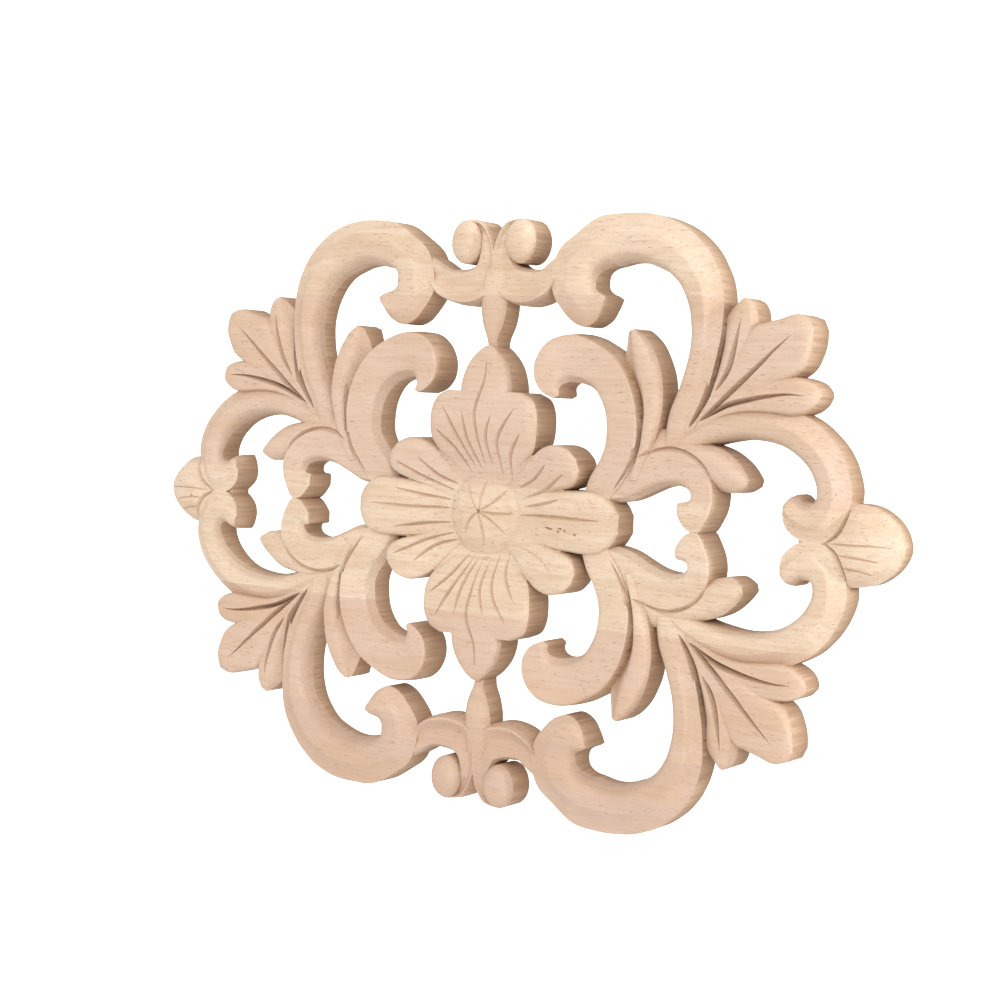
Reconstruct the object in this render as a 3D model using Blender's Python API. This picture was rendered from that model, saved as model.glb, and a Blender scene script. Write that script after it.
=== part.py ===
"""Carved wood onlay: one solid, a flower with scrolls and leaves around it, sawn out and carved.

The piece stands upright with its flat back on the plane Y = 0 and its carving facing -Y.
Every limb is drawn once, in the upper right quarter, and repeated about both centre lines.
A limb is lofted between two edge lines: a row gives the x and z of the first edge, the x and z
of the second edge, then the height of the first edge, of the crest and of the second edge,
all in millimetres on a drawing that is 296 mm wide.
"""
import bpy
import bmesh
import numpy as np

WIDTH = 0.300            # overall width of the finished piece, metres
DRAWN_WIDTH = 296.0      # width of the drawing below, millimetres
SCALE = WIDTH / DRAWN_WIDTH
BACK_ALLOWANCE = 3.0     # waste left behind the back face until it is planed off, millimetres
MERGE_DISTANCE = 0.00003 # corners closer than this become one, metres
FLAT_ANGLE = 0.1         # neighbouring faces this close to flat are merged, radians
SHARP_ANGLE = 0.5        # edges that turn more than this stay crisp, radians

WOOD_COLOUR = (0.72, 0.52, 0.34, 1.0)
WOOD_ROUGHNESS = 0.6

# Places of the section points across a limb, and how much of the crest each one keeps.
ROUND = ((0.0, 0.0), (0.13, 0.66), (0.5, 1.0), (0.87, 0.66), (1.0, 0.0))
VEINED = ((0.0, 0.0), (0.2, 0.8), (0.41, 1.0), (0.5, 0.35), (0.59, 1.0), (0.8, 0.8), (1.0, 0.0))

C_SCROLL = (
    (76.5, 27.0, 66.5, 25.0, 7.0, 9.5, 6.0),
    (80.0, 36.0, 67.5, 35.0, 6.0, 10.5, 4.5),
    (83.5, 46.0, 71.8, 45.3, 6.0, 11.5, 5.0),
    (85.8, 56.0, 74.7, 54.9, 6.5, 11.8, 6.0),
    (86.8, 65.0, 75.1, 64.0, 7.5, 12.0, 6.2),
    (86.7, 72.5, 73.5, 70.5, 10.2, 12.0, 6.2),
    (84.8, 80.0, 70.5, 75.7, 10.1, 12.0, 5.2),
    (79.8, 88.1, 66.4, 79.7, 10.1, 12.0, 4.6),
    (72.1, 94.6, 61.6, 82.0, 9.4, 12.2, 4.4),
    (61.6, 98.6, 56.6, 83.6, 9.8, 12.2, 4.2),
    (50.4, 99.2, 51.5, 83.9, 10.4, 12.2, 4.2),
    (41.0, 98.0, 47.2, 83.1, 10.8, 12.4, 4.6),
    (33.2, 93.4, 43.5, 82.3, 10.3, 12.8, 5.6),
    (26.6, 88.0, 40.8, 80.4, 10.3, 12.8, 7.2),
    (24.0, 81.6, 40.2, 78.3, 10.4, 12.6, 8.8),
    (24.2, 74.7, 40.3, 76.6, 9.8, 12.6, 9.0),
    (28.2, 68.5, 40.8, 75.4, 9.9, 12.6, 9.9),
    (32.5, 64.6, 41.8, 74.6, 9.6, 12.7, 10.4),
    (37.3, 63.1, 42.9, 74.0, 9.8, 12.8, 11.4),
    (41.9, 65.3, 44.2, 73.6, 10.4, 12.8, 11.8),
    (44.8, 69.6, 46.0, 72.5, 11.4, 12.4, 12.0),
)

ARM = (
    (38.0, 94.4, 27.0, 80.4, 11.0, 12.4, 9.5),
    (33.0, 91.0, 24.5, 76.4, 11.0, 12.2, 9.0),
    (27.8, 87.4, 22.0, 73.0, 10.2, 11.8, 7.5),
    (22.2, 84.3, 17.3, 70.6, 8.4, 11.0, 5.5),
    (18.2, 82.1, 12.4, 69.8, 7.0, 10.3, 5.0),
    (14.5, 82.0, 7.6, 70.2, 6.5, 10.0, 5.0),
    (11.3, 82.4, 3.0, 72.0, 6.5, 9.8, 5.5),
    (8.4, 83.6, -0.2, 76.0, 7.0, 9.8, 6.5),
    (6.8, 86.3, -0.7, 81.5, 7.5, 9.8, 6.8),
    (6.2, 89.4, -0.7, 87.0, 8.0, 10.0, 6.8),
    (6.8, 92.2, 1.0, 92.6, 8.0, 10.2, 6.2),
    (8.8, 94.0, 4.5, 97.5, 8.2, 10.2, 6.3),
    (11.5, 94.6, 9.8, 98.8, 8.5, 10.2, 6.5),
)

SIDE_SCROLL = (
    (71.0, 30.0, 72.0, 22.5, 7.5, 9.5, 7.5),
    (79.0, 35.5, 79.0, 25.2, 7.0, 10.5, 5.5),
    (87.5, 39.2, 85.0, 27.4, 7.0, 11.2, 5.0),
    (96.0, 40.8, 91.0, 28.8, 7.2, 11.6, 4.5),
    (104.5, 40.6, 97.3, 29.5, 7.5, 11.8, 4.5),
    (113.4, 38.2, 104.4, 28.8, 8.2, 12.0, 5.0),
    (121.1, 34.0, 110.4, 26.8, 8.2, 12.0, 5.8),
    (126.9, 28.2, 114.9, 23.9, 8.8, 12.0, 6.8),
    (130.6, 21.4, 118.4, 20.3, 9.4, 12.0, 7.8),
    (132.0, 15.0, 120.4, 16.5, 9.6, 12.2, 8.4),
    (131.0, 9.0, 120.8, 13.8, 9.4, 12.5, 9.0),
    (128.5, 3.0, 120.0, 12.0, 9.5, 12.7, 9.0),
    (123.8, -0.5, 118.4, 11.6, 10.0, 12.8, 8.6),
    (118.4, -0.3, 116.6, 12.0, 10.6, 12.8, 6.8),
    (114.3, 1.5, 114.7, 13.6, 10.8, 12.8, 5.4),
    (111.4, 4.5, 112.8, 13.8, 11.0, 12.6, 5.8),
    (110.6, 8.1, 111.4, 11.6, 11.4, 12.0, 8.6),
)

BLADE = (
    (60.0, 15.0, 53.0, 15.0, 8.0, 10.5, 6.5),
    (63.6, 24.0, 56.5, 24.5, 9.0, 11.5, 5.0),
    (66.0, 31.5, 57.0, 31.5, 9.8, 12.2, 5.0),
    (67.4, 38.0, 56.5, 38.0, 10.2, 12.4, 5.0),
    (67.3, 44.0, 54.5, 44.0, 10.2, 12.4, 5.2),
    (66.0, 50.1, 51.8, 49.6, 10.0, 12.4, 6.0),
    (63.1, 56.2, 51.7, 53.6, 9.6, 12.3, 7.5),
    (59.4, 60.5, 52.8, 58.2, 9.8, 12.2, 8.8),
    (56.4, 62.6, 53.9, 61.7, 10.6, 11.4, 10.2),
)

INNER_SCROLL = (
    (47.5, 6.0, 37.5, 9.5, 7.0, 9.0, 6.0),
    (53.5, 12.5, 39.5, 15.0, 6.0, 10.5, 6.0),
    (57.8, 19.5, 43.3, 20.4, 5.5, 11.5, 6.8),
    (59.6, 27.0, 46.0, 26.1, 5.5, 12.2, 8.2),
    (59.7, 34.0, 46.1, 31.2, 5.5, 12.4, 8.2),
    (58.3, 41.0, 45.2, 36.0, 5.5, 12.4, 8.0),
    (55.2, 47.8, 43.2, 39.9, 5.8, 12.2, 7.6),
    (50.8, 53.3, 40.6, 42.9, 6.4, 12.0, 6.8),
    (44.8, 57.3, 37.4, 44.5, 5.4, 11.8, 6.8),
    (38.9, 60.0, 34.6, 45.1, 4.6, 11.8, 7.2),
    (32.4, 61.0, 32.4, 45.3, 4.8, 12.0, 8.2),
    (26.2, 59.6, 30.8, 44.9, 6.4, 12.4, 9.2),
    (21.8, 55.8, 29.8, 44.2, 9.2, 12.8, 10.4),
    (19.7, 50.3, 29.2, 43.3, 10.5, 12.9, 10.8),
    (20.7, 44.8, 29.1, 42.3, 10.9, 12.9, 11.2),
    (23.9, 41.3, 29.3, 41.4, 11.0, 12.8, 11.2),
    (27.6, 39.7, 29.2, 40.6, 11.4, 12.2, 11.4),
)

SMALL_CURL = (
    (52.0, 17.0, 47.5, 6.5, 6.5, 9.5, 6.0),
    (60.0, 22.0, 56.1, 8.2, 7.0, 10.0, 6.0),
    (66.0, 25.0, 61.9, 10.8, 7.0, 10.6, 6.0),
    (72.0, 25.6, 67.4, 13.1, 7.0, 11.2, 6.4),
    (77.8, 24.6, 72.0, 13.9, 7.0, 11.8, 7.2),
    (82.8, 21.6, 75.3, 13.6, 7.4, 12.2, 8.2),
    (86.4, 17.0, 77.4, 12.7, 8.5, 12.6, 9.0),
    (87.8, 12.0, 78.4, 11.5, 10.7, 12.8, 9.3),
    (87.4, 7.9, 78.6, 10.6, 10.4, 12.8, 9.8),
    (85.7, 3.8, 78.4, 9.8, 10.2, 12.8, 10.3),
    (82.7, -0.3, 77.5, 9.2, 10.2, 12.8, 10.8),
    (79.4, 0.2, 76.5, 9.1, 10.6, 12.7, 11.0),
    (76.8, 2.5, 75.7, 9.0, 10.6, 12.5, 11.1),
    (75.1, 5.0, 75.0, 8.6, 11.0, 12.0, 11.2),
)

SMALL_LEAF = (
    (63.0, 25.0, 62.0, 20.0, 7.0, 9.5, 6.5),
    (70.0, 27.4, 70.0, 22.0, 7.0, 10.5, 6.0),
    (77.0, 28.5, 76.5, 21.6, 7.0, 11.3, 6.0),
    (84.2, 27.3, 81.5, 18.6, 7.6, 11.8, 6.5),
    (90.2, 25.4, 85.6, 14.8, 8.8, 12.2, 7.5),
    (94.6, 22.4, 90.0, 13.3, 9.2, 12.3, 9.0),
    (97.3, 19.5, 95.1, 13.1, 10.0, 12.1, 9.8),
    (98.9, 17.1, 98.4, 15.0, 10.4, 11.4, 10.2),
)

LOBE_TOP = (
    (77.0, 33.0, 80.5, 31.5, 6.0, 9.0, 6.0),
    (80.5, 41.0, 86.5, 39.5, 5.5, 10.3, 7.0),
    (83.0, 49.0, 92.0, 47.5, 5.0, 11.2, 7.5),
    (84.8, 57.0, 96.3, 55.5, 5.5, 11.8, 8.0),
    (85.6, 63.8, 98.6, 62.3, 6.5, 12.0, 8.4),
    (87.4, 66.9, 98.5, 67.6, 7.6, 11.8, 9.2),
    (90.2, 69.9, 96.7, 71.4, 8.6, 11.2, 9.0),
    (92.6, 71.9, 94.4, 72.6, 9.2, 10.2, 9.4),
)

LOBE_BIG = (
    (77.0, 34.0, 80.0, 31.0, 6.0, 9.0, 6.0),
    (85.5, 45.0, 89.5, 37.0, 6.5, 10.6, 6.5),
    (91.0, 53.5, 98.5, 42.0, 7.0, 11.6, 7.0),
    (95.0, 60.0, 106.0, 46.2, 7.6, 12.3, 7.5),
    (98.2, 64.4, 110.9, 48.6, 8.6, 12.6, 8.8),
    (101.7, 65.3, 114.4, 51.2, 9.0, 12.7, 9.5),
    (106.4, 66.4, 116.6, 55.4, 9.4, 12.7, 9.8),
    (111.7, 67.9, 117.8, 59.6, 9.6, 12.4, 9.6),
    (116.3, 66.7, 117.9, 63.3, 9.8, 11.2, 9.6),
)

LOBE_LOW = (
    (77.0, 33.5, 79.5, 30.5, 6.0, 9.0, 6.0),
    (88.5, 42.2, 88.5, 35.8, 6.5, 10.3, 6.5),
    (98.0, 46.6, 97.0, 37.8, 7.0, 11.2, 7.0),
    (106.0, 48.8, 105.0, 37.7, 7.6, 11.6, 7.5),
    (111.2, 49.0, 113.0, 37.4, 8.6, 11.7, 8.4),
    (115.3, 48.4, 117.1, 38.9, 8.6, 11.4, 8.4),
    (118.5, 47.1, 119.6, 41.1, 8.2, 10.6, 8.2),
    (120.5, 45.0, 120.7, 43.4, 8.4, 9.3, 8.4),
)

DIAGONAL_PETAL = (
    (5.0, 7.5, 9.0, 2.0, 6.5, 8.0, 6.5),
    (13.0, 14.5, 17.5, 5.5, 7.0, 9.8, 7.0),
    (19.5, 20.8, 25.0, 8.2, 9.5, 11.4, 7.5),
    (24.4, 23.6, 31.0, 9.8, 11.0, 12.6, 8.5),
    (29.2, 24.6, 35.2, 11.4, 11.4, 13.0, 10.0),
    (34.3, 23.3, 37.8, 13.8, 11.4, 12.9, 11.2),
    (37.5, 20.3, 38.7, 17.0, 11.5, 12.2, 11.5),
)

# Limbs that lie across a centre line: distance out, half width, edge height, crest height.
FINIAL = (
    (113.0, 5.0, 8.0, 10.0),
    (120.0, 9.2, 8.0, 11.6),
    (126.5, 11.4, 8.4, 12.4),
    (132.0, 12.5, 8.2, 12.6),
    (137.1, 11.9, 7.8, 12.4),
    (141.4, 10.1, 7.0, 11.8),
    (145.0, 7.0, 6.6, 10.8),
    (147.2, 3.5, 6.4, 9.2),
    (148.0, 1.0, 6.4, 7.4),
)
LONG_PETAL = (
    (6.0, 6.0, 6.5, 7.5),
    (15.0, 8.2, 8.0, 9.0),
    (25.0, 9.4, 8.8, 10.6),
    (35.0, 10.1, 9.4, 11.8),
    (42.0, 10.2, 9.6, 12.0),
    (47.4, 9.0, 9.6, 11.8),
    (50.8, 6.4, 9.4, 11.0),
    (53.1, 2.8, 9.0, 9.8),
)
BROAD_PETAL = (
    (5.0, 6.0, 6.5, 7.0),
    (12.0, 10.5, 7.5, 8.4),
    (17.0, 14.6, 9.0, 10.0),
    (22.0, 19.8, 10.6, 11.8),
    (25.5, 21.3, 11.6, 12.8),
    (30.0, 21.8, 12.0, 13.4),
    (34.8, 21.4, 12.0, 13.4),
    (38.8, 19.6, 11.5, 13.2),
    (41.2, 14.9, 11.8, 12.6),
)
OVAL_PETAL = (
    (33.0, 9.4, 9.5, 11.5),
    (40.0, 10.2, 10.2, 12.2),
    (45.1, 9.8, 10.4, 12.3),
    (49.4, 8.2, 9.8, 12.1),
    (53.1, 5.5, 9.6, 11.6),
    (55.4, 2.9, 9.4, 10.8),
    (56.5, 1.1, 9.4, 10.0),
)
BUD = (
    (87.0, 2.6, 6.5, 8.0),
    (80.0, 4.5, 7.6, 9.6),
    (73.0, 5.2, 7.8, 10.0),
    (67.5, 5.0, 8.0, 10.0),
    (63.0, 3.9, 8.2, 9.8),
    (59.0, 2.2, 8.2, 9.2),
    (54.0, 1.6, 7.0, 7.8),
)

EYE_CENTRE = (11.0, 91.1)
EYE_RADII = (6.0, 7.4)
EYE_EDGE = 9.6
EYE_CREST = 13.2
EYE_RINGS = ((0.8, 0.62), (0.42, 0.95))
DOME_RADIUS = 13.0
DOME_EDGE = 7.2
DOME_CREST = 13.4
DOME_RINGS = ((0.93, 0.36), (0.78, 0.66), (0.5, 0.9), (0.2, 1.0))
HUB_RADII = (22.0, 18.0)
HUB_EDGE = 6.5
HUB_CREST = 7.0
CROWN_CENTRE = (66.0, 23.5)
CROWN_RADII = (11.0, 8.0)
CROWN_EDGE = 7.0
CROWN_CREST = 9.6


def clear_scene():
    """Remove whatever the file opened with."""
    for thing in list(bpy.data.objects):
        bpy.data.objects.remove(thing, do_unlink=True)


def across(rows, along_x):
    """Rows of a limb that lies across a centre line, in the seven-number form."""
    full = []
    for out, half, edge, crest in rows:
        if along_x:
            full.append((out, half, out, -half, edge, crest, edge))
        else:
            full.append((-half, out, half, out, edge, crest, edge))
    return full


def fan_section(grooves, depth):
    """Section across a petal with V grooves; depth is the share of the crest each one takes."""
    section = [(0.0, 0.0)]
    for index in range(grooves):
        middle = (index + 0.5) / grooves
        if index > 0:
            section.append((index / grooves, 1.0))
        section.append((middle, 1.0 - depth))
    section.append((1.0, 0.0))
    return tuple(section)


def new_object(name, vertices, faces):
    """A mesh object from millimetre points (x, height, z) and its faces, turned outward."""
    mesh = bpy.data.meshes.new(name)
    mesh.from_pydata([(x * SCALE, -h * SCALE, z * SCALE) for x, h, z in vertices], [], faces)
    form = bmesh.new()
    form.from_mesh(mesh)
    bmesh.ops.triangulate(form, faces=form.faces)
    bmesh.ops.recalc_face_normals(form, faces=form.faces)
    form.to_mesh(mesh)
    form.free()
    made = bpy.data.objects.new(name, mesh)
    bpy.context.scene.collection.objects.link(made)
    return made


def tube_faces(rings, count):
    """Faces of a closed tube whose rings follow each other with count points each."""
    faces = []
    for ring in range(rings - 1):
        low = ring * count
        high = low + count
        for k in range(count):
            after = (k + 1) % count
            faces.append((low + k, low + after, high + after, high + k))
    faces.append(tuple(range(count)))
    faces.append(tuple((rings - 1) * count + k for k in reversed(range(count))))
    return faces


def loft(name, rows, section):
    """A limb: the section carried along its two edge lines, with straight walls to the back."""
    vertices = []
    for ax, az, bx, bz, edge_a, crest, edge_b in rows:
        vertices.append((ax, -BACK_ALLOWANCE, az))
        for place, share in section:
            edge = edge_a + (edge_b - edge_a) * place
            height = edge + (crest - edge) * share
            vertices.append((ax + (bx - ax) * place, height, az + (bz - az) * place))
        vertices.append((bx, -BACK_ALLOWANCE, bz))
    return new_object(name, vertices, tube_faces(len(rows), len(section) + 2))


def boss(name, centre, radii, edge, crest, sides, rings):
    """A round or oval raised form; rings gives the radius and crest share of each ring."""
    vertices = []
    levels = [(1.0, -BACK_ALLOWANCE), (1.0, edge)]
    levels += [(radius, edge + (crest - edge) * share) for radius, share in rings]
    for radius, height in levels:
        for angle in np.arange(sides) * 2 * np.pi / sides:
            vertices.append((centre[0] + radii[0] * radius * np.cos(angle), height,
                             centre[1] + radii[1] * radius * np.sin(angle)))
    return new_object(name, vertices, tube_faces(len(levels), sides))


def mirrored(source, flip_x, flip_z):
    """A copy of a limb reflected about one or both centre lines."""
    copy = source.copy()
    copy.data = source.data.copy()
    bpy.context.scene.collection.objects.link(copy)
    form = bmesh.new()
    form.from_mesh(copy.data)
    for vertex in form.verts:
        vertex.co.x *= -1 if flip_x else 1
        vertex.co.z *= -1 if flip_z else 1
    if flip_x != flip_z:
        bmesh.ops.reverse_faces(form, faces=form.faces)
    form.to_mesh(copy.data)
    form.free()
    return copy


def join_solids(target, others):
    """Union of a solid with the others, which are removed.

    The exact solver leaves open edges where many limbs cross each other near the leaf roots,
    so the manifold solver joins them.
    """
    for other in others:
        joiner = target.modifiers.new("join", "BOOLEAN")
        joiner.operation = "UNION"
        joiner.solver = "MANIFOLD"
        joiner.object = other
        graph = bpy.context.evaluated_depsgraph_get()
        joined = bpy.data.meshes.new_from_object(target.evaluated_get(graph))
        target.modifiers.clear()
        target.data = joined
        bpy.data.objects.remove(other, do_unlink=True)


def plane_back(target):
    """Cut off everything behind the back face and close the cut."""
    form = bmesh.new()
    form.from_mesh(target.data)
    cut = bmesh.ops.bisect_plane(form, geom=form.verts[:] + form.edges[:] + form.faces[:],
                                 plane_co=(0, 0, 0), plane_no=(0, 1, 0), clear_outer=True)
    rim = [item for item in cut["geom_cut"] if isinstance(item, bmesh.types.BMEdge)]
    bmesh.ops.triangle_fill(form, edges=rim, use_beauty=True, use_dissolve=False)
    bmesh.ops.recalc_face_normals(form, faces=form.faces)
    form.to_mesh(target.data)
    form.free()


def tidy_faces(target):
    """Merge nearly flat neighbouring faces, cut what is left into triangles and shade it."""
    form = bmesh.new()
    form.from_mesh(target.data)
    bmesh.ops.remove_doubles(form, verts=form.verts, dist=MERGE_DISTANCE)
    bmesh.ops.dissolve_limit(form, angle_limit=FLAT_ANGLE, verts=form.verts, edges=form.edges)
    bmesh.ops.triangulate(form, faces=form.faces)
    form.to_mesh(target.data)
    form.free()
    target.data.shade_smooth()
    target.data.set_sharp_from_angle(angle=SHARP_ANGLE)


clear_scene()

quarter = [
    loft("c scroll", C_SCROLL, ROUND),
    loft("arm", ARM, ROUND),
    loft("side scroll", SIDE_SCROLL, ROUND),
    loft("blade", BLADE, ROUND),
    loft("inner scroll", INNER_SCROLL, ROUND),
    loft("small curl", SMALL_CURL, ROUND),
    loft("small leaf", SMALL_LEAF, ROUND),
    loft("top lobe", LOBE_TOP, VEINED),
    loft("big lobe", LOBE_BIG, VEINED),
    loft("low lobe", LOBE_LOW, VEINED),
    loft("diagonal petal", DIAGONAL_PETAL, fan_section(3, 0.5)),
    boss("eye", EYE_CENTRE, EYE_RADII, EYE_EDGE, EYE_CREST, 16, EYE_RINGS),
    boss("crown", CROWN_CENTRE, CROWN_RADII, CROWN_EDGE, CROWN_CREST, 14, ((0.6, 0.8),)),
]
across_side = [
    loft("finial", across(FINIAL, True), ROUND),
    loft("long petal", across(LONG_PETAL, True), fan_section(5, 0.5)),
]
across_top = [
    loft("broad petal", across(BROAD_PETAL, False), fan_section(8, 0.6)),
    loft("oval petal", across(OVAL_PETAL, False), VEINED),
    loft("bud", across(BUD, False), ROUND),
]

limbs = [boss("hub", (0.0, 0.0), HUB_RADII, HUB_EDGE, HUB_CREST, 20, ((0.7, 1.0),))]
for limb in quarter:
    limbs += [limb, mirrored(limb, True, False), mirrored(limb, False, True), mirrored(limb, True, True)]
for limb in across_side:
    limbs += [limb, mirrored(limb, True, False)]
for limb in across_top:
    limbs += [limb, mirrored(limb, False, True)]

onlay = boss("carved_onlay", (0.0, 0.0), (DOME_RADIUS, DOME_RADIUS), DOME_EDGE, DOME_CREST, 28, DOME_RINGS)
join_solids(onlay, limbs)
plane_back(onlay)
tidy_faces(onlay)

wood = bpy.data.materials.new("rubberwood")
wood.use_nodes = True
shader = wood.node_tree.nodes["Principled BSDF"]
shader.inputs["Base Color"].default_value = WOOD_COLOUR
shader.inputs["Roughness"].default_value = WOOD_ROUGHNESS
shader.inputs["Metallic"].default_value = 0.0
onlay.data.materials.clear()
onlay.data.materials.append(wood)
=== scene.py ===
# %% [markdown]
# # A carved wood onlay
# The real thing is one board of rubberwood, glued up from strips, sawn out in openwork and carved
# by hand: a flower in the middle, scrolls, curls and leaves around it, a finial at each end.
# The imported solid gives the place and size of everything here. This script makes the finer
# surface that stands for it, the wood, the light and the camera.

import bmesh
import bpy
import numpy as np
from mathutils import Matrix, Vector
from mathutils.bvhtree import BVHTree


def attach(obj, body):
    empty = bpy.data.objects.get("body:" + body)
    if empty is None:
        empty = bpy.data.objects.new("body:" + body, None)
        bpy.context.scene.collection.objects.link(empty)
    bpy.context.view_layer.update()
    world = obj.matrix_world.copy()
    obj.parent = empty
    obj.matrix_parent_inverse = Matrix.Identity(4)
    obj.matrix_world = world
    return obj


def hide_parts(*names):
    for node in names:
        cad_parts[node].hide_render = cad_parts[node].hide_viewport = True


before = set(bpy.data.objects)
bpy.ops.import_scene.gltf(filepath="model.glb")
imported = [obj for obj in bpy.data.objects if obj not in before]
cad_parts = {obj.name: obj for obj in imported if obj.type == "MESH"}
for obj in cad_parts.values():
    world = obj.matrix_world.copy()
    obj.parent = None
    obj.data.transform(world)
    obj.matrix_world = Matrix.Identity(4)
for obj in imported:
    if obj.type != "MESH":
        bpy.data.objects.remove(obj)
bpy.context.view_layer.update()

# %% [markdown]
# ## The drawing
# A carver draws one quarter of such a pattern and turns the tracing over for the others. The
# tables below are that drawing. Each limb runs between two edge lines; a row has the x and z of
# the first edge, the x and z of the second edge, and the heights of first edge, crest and second
# edge above the back, in millimetres on a drawing 296 mm wide.

# %% Scale of the drawing
WIDTH = 0.300
DRAWN_WIDTH = 296.0
SCALE = WIDTH / DRAWN_WIDTH
print("a drawn millimetre is", round(SCALE * 1000, 4), "mm")

# %% [markdown]
# ## Scrolls
# The large scroll climbs from the branching, turns over at the top and hooks back inside. An arm
# joins it to the crown in the middle. A side scroll runs out to the finial, an inner scroll turns
# in beside the flower, and a small curl meets its mirror image on the centre line.

# %% Scrolls of the upper right quarter
C_SCROLL = (
    (76.5, 27.0, 66.5, 25.0, 8.6, 9.5, 6.0),
    (80.0, 36.0, 67.5, 35.0, 9.6, 10.5, 4.5),
    (83.5, 46.0, 71.8, 45.3, 10.4, 11.5, 5.0),
    (85.8, 56.0, 74.7, 54.9, 10.2, 11.8, 6.0),
    (86.8, 65.0, 75.1, 64.0, 9.6, 12.0, 6.2),
    (86.7, 72.5, 73.5, 70.5, 9.4, 12.0, 6.2),
    (84.8, 80.0, 70.5, 75.7, 9.2, 12.0, 5.2),
    (79.8, 88.1, 66.4, 79.7, 9.2, 12.0, 4.6),
    (72.1, 94.6, 61.6, 82.0, 9.4, 12.2, 4.4),
    (61.6, 98.6, 56.6, 83.6, 9.8, 12.2, 4.2),
    (50.4, 99.2, 51.5, 83.9, 10.4, 12.2, 4.2),
    (41.0, 98.0, 47.2, 83.1, 10.8, 12.4, 4.6),
    (33.2, 93.4, 43.5, 82.3, 10.3, 12.8, 5.6),
    (26.6, 88.0, 40.8, 80.4, 10.3, 12.8, 7.2),
    (24.0, 81.6, 40.2, 78.3, 10.4, 12.6, 8.8),
    (24.2, 74.7, 40.3, 76.6, 9.8, 12.6, 9.0),
    (28.2, 68.5, 40.8, 75.4, 9.9, 12.6, 9.9),
    (32.5, 64.6, 41.8, 74.6, 9.6, 12.7, 10.4),
    (37.3, 63.1, 42.9, 74.0, 9.8, 12.8, 11.4),
    (41.9, 65.3, 44.2, 73.6, 10.4, 12.8, 11.8),
    (44.8, 69.6, 46.0, 72.5, 11.4, 12.4, 12.0),
)
ARM = (
    (38.0, 94.4, 27.0, 80.4, 8.6, 10.4, 8.4),
    (33.0, 91.0, 24.5, 76.4, 8.8, 10.8, 8.2),
    (27.8, 87.4, 22.0, 73.0, 9.2, 11.2, 7.5),
    (22.2, 84.3, 17.3, 70.6, 8.4, 11.0, 5.5),
    (18.2, 82.1, 12.4, 69.8, 7.0, 10.3, 5.0),
    (14.5, 82.0, 7.6, 70.2, 6.5, 10.0, 5.0),
    (11.3, 82.4, 3.0, 72.0, 6.5, 9.8, 5.5),
    (8.4, 83.6, -0.2, 76.0, 7.0, 9.8, 6.5),
    (6.8, 86.3, -0.7, 81.5, 7.5, 9.8, 6.8),
    (6.2, 89.4, -0.7, 87.0, 8.0, 10.0, 6.8),
    (6.8, 92.2, 1.0, 92.6, 8.0, 10.2, 6.2),
    (8.8, 94.0, 4.5, 97.5, 8.2, 10.2, 6.3),
    (11.5, 94.6, 9.8, 98.8, 8.5, 10.2, 6.5),
)
SIDE_SCROLL = (
    (71.0, 30.0, 72.0, 22.5, 7.5, 9.5, 7.5),
    (79.0, 35.5, 79.0, 25.2, 7.0, 10.5, 5.5),
    (87.5, 39.2, 85.0, 27.4, 7.0, 11.2, 5.0),
    (96.0, 40.8, 91.0, 28.8, 7.2, 11.6, 4.5),
    (104.5, 40.6, 97.3, 29.5, 7.5, 11.8, 4.5),
    (113.4, 38.2, 104.4, 28.8, 8.2, 12.0, 5.0),
    (121.1, 34.0, 110.4, 26.8, 8.2, 12.0, 5.8),
    (126.9, 28.2, 114.9, 23.9, 8.8, 12.0, 6.8),
    (130.6, 21.4, 118.4, 20.3, 9.4, 12.0, 7.8),
    (132.0, 15.0, 120.4, 16.5, 9.6, 12.2, 8.4),
    (131.0, 9.0, 120.8, 13.8, 9.4, 12.5, 9.0),
    (128.5, 3.0, 120.0, 12.0, 9.5, 12.7, 9.0),
    (123.8, -0.5, 118.4, 11.6, 10.0, 12.8, 8.6),
    (118.4, -0.3, 116.6, 12.0, 10.6, 12.8, 6.8),
    (114.3, 1.5, 114.7, 13.6, 10.8, 12.8, 5.4),
    (111.4, 4.5, 112.8, 13.8, 11.0, 12.6, 5.8),
    (110.6, 8.1, 111.4, 11.6, 11.4, 12.0, 8.6),
)
INNER_SCROLL = (
    (47.5, 6.0, 37.5, 9.5, 7.0, 9.0, 6.0),
    (53.5, 12.5, 39.5, 15.0, 6.0, 10.5, 6.0),
    (57.8, 19.5, 43.3, 20.4, 5.5, 11.5, 6.8),
    (59.6, 27.0, 46.0, 26.1, 5.5, 12.2, 8.2),
    (59.7, 34.0, 46.1, 31.2, 5.5, 12.4, 8.2),
    (58.3, 41.0, 45.2, 36.0, 5.5, 12.4, 8.0),
    (55.2, 47.8, 43.2, 39.9, 5.8, 12.2, 7.6),
    (50.8, 53.3, 40.6, 42.9, 6.4, 12.0, 6.8),
    (44.8, 57.3, 37.4, 44.5, 5.4, 11.8, 6.8),
    (38.9, 60.0, 34.6, 45.1, 4.6, 11.8, 7.2),
    (32.4, 61.0, 32.4, 45.3, 4.8, 12.0, 8.2),
    (26.2, 59.6, 30.8, 44.9, 6.4, 12.4, 9.2),
    (21.8, 55.8, 29.8, 44.2, 9.2, 12.8, 10.4),
    (19.7, 50.3, 29.2, 43.3, 10.5, 12.9, 10.8),
    (20.7, 44.8, 29.1, 42.3, 10.9, 12.9, 11.2),
    (23.9, 41.3, 29.3, 41.4, 11.0, 12.8, 11.2),
    (27.6, 39.7, 29.2, 40.6, 11.4, 12.2, 11.4),
)
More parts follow.
